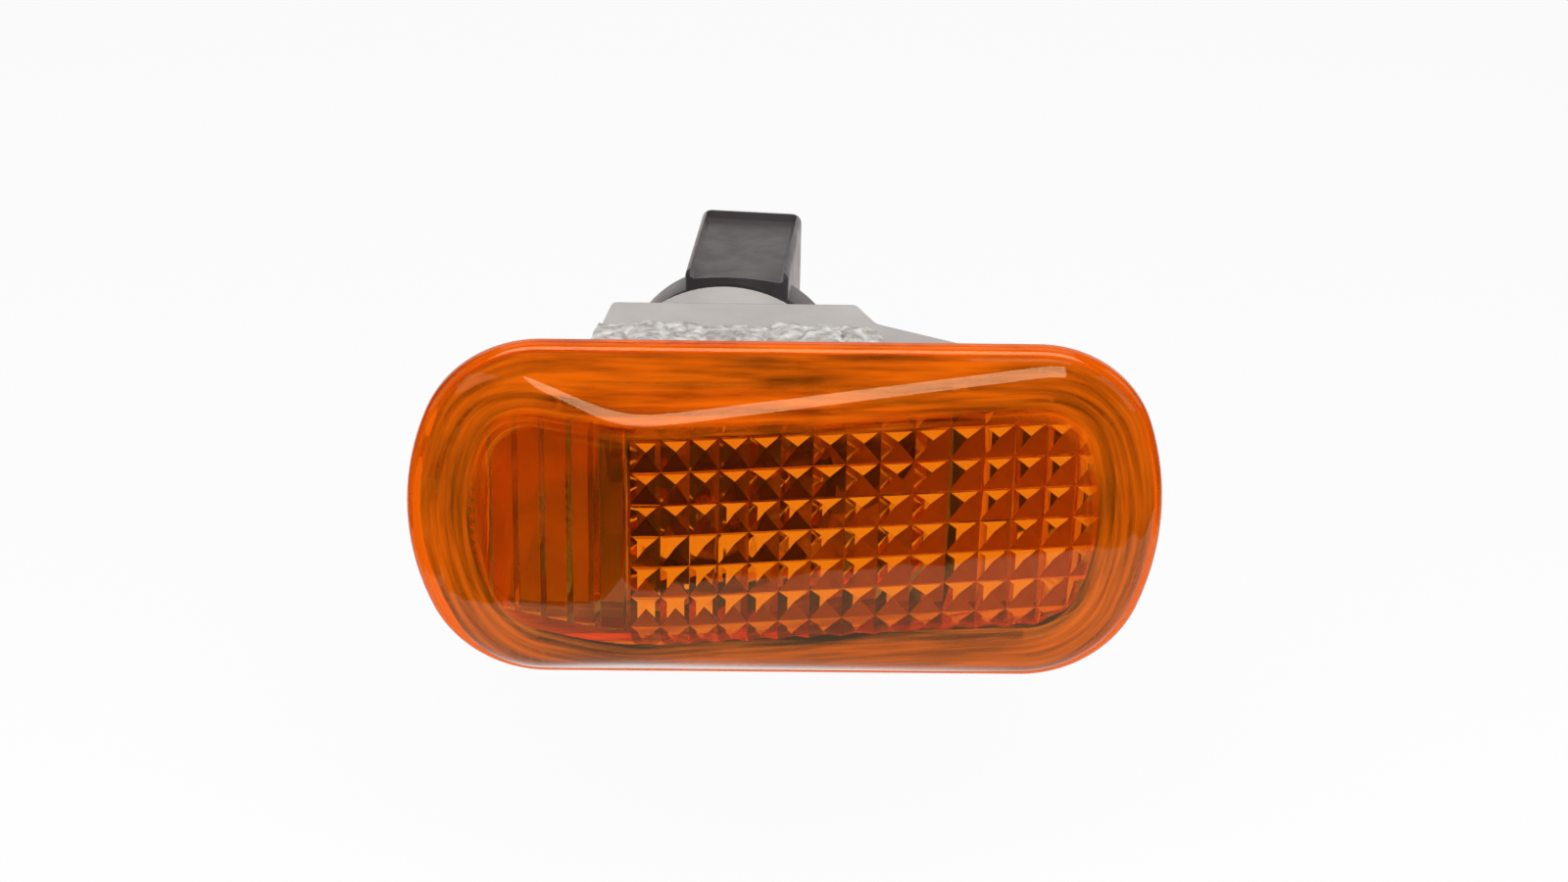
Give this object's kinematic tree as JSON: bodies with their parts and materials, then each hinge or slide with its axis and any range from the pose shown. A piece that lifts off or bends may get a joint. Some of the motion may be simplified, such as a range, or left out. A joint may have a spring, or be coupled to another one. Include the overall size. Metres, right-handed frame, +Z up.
{
  "type": "vehicle side indicator lamp",
  "caption": "Oblong amber side turn indicator lamp with a prismatic lens, grey snap-in housing and twist-lock bulb holder with a connector socket.",
  "frame": {"origin": "centre of the housing flange's flat back face, which seats on the body panel", "axes": "+X along the lamp towards its shallow end, +Y rearwards from the lens to the connector, +Z up"},
  "size_m": [0.07, 0.0494, 0.0344],
  "materials": {
    "amber_lens": "clear amber moulded acrylic, polished outside, prisms inside",
    "grey_plastic": "light grey moulded plastic, fine satin",
    "sealing_bead": "rough silver-grey sealing bead with small glints",
    "black_plastic": "black glass-filled plastic, fine grain",
    "seal_rubber": "soft black rubber",
    "terminal_brass": "stamped brass, bright",
    "bulb_glass": "clear blown glass",
    "lead_wire": "plated wire",
    "filament_wire": "dull tungsten coil"
  },
  "bodies": {
    "housing": {"lens": "amber_lens", "housing": "grey_plastic", "joint_bead": "sealing_bead"},
    "holder": {"bulb_holder": "black_plastic", "holder_seal": "seal_rubber", "terminal_upper": "terminal_brass", "terminal_lower": "terminal_brass", "bulb_glass": "bulb_glass", "bulb_leads": "lead_wire", "bulb_filament": "filament_wire"}
  },
  "joints": [
    {"name": "holder_twist", "type": "hinge", "parent": "housing", "child": "holder", "pos_m": [-0.0058, 0.0166, 0.0006], "axis": [0.1045, 0.9945, 0], "range_deg": [-40, 0]}
  ]
}
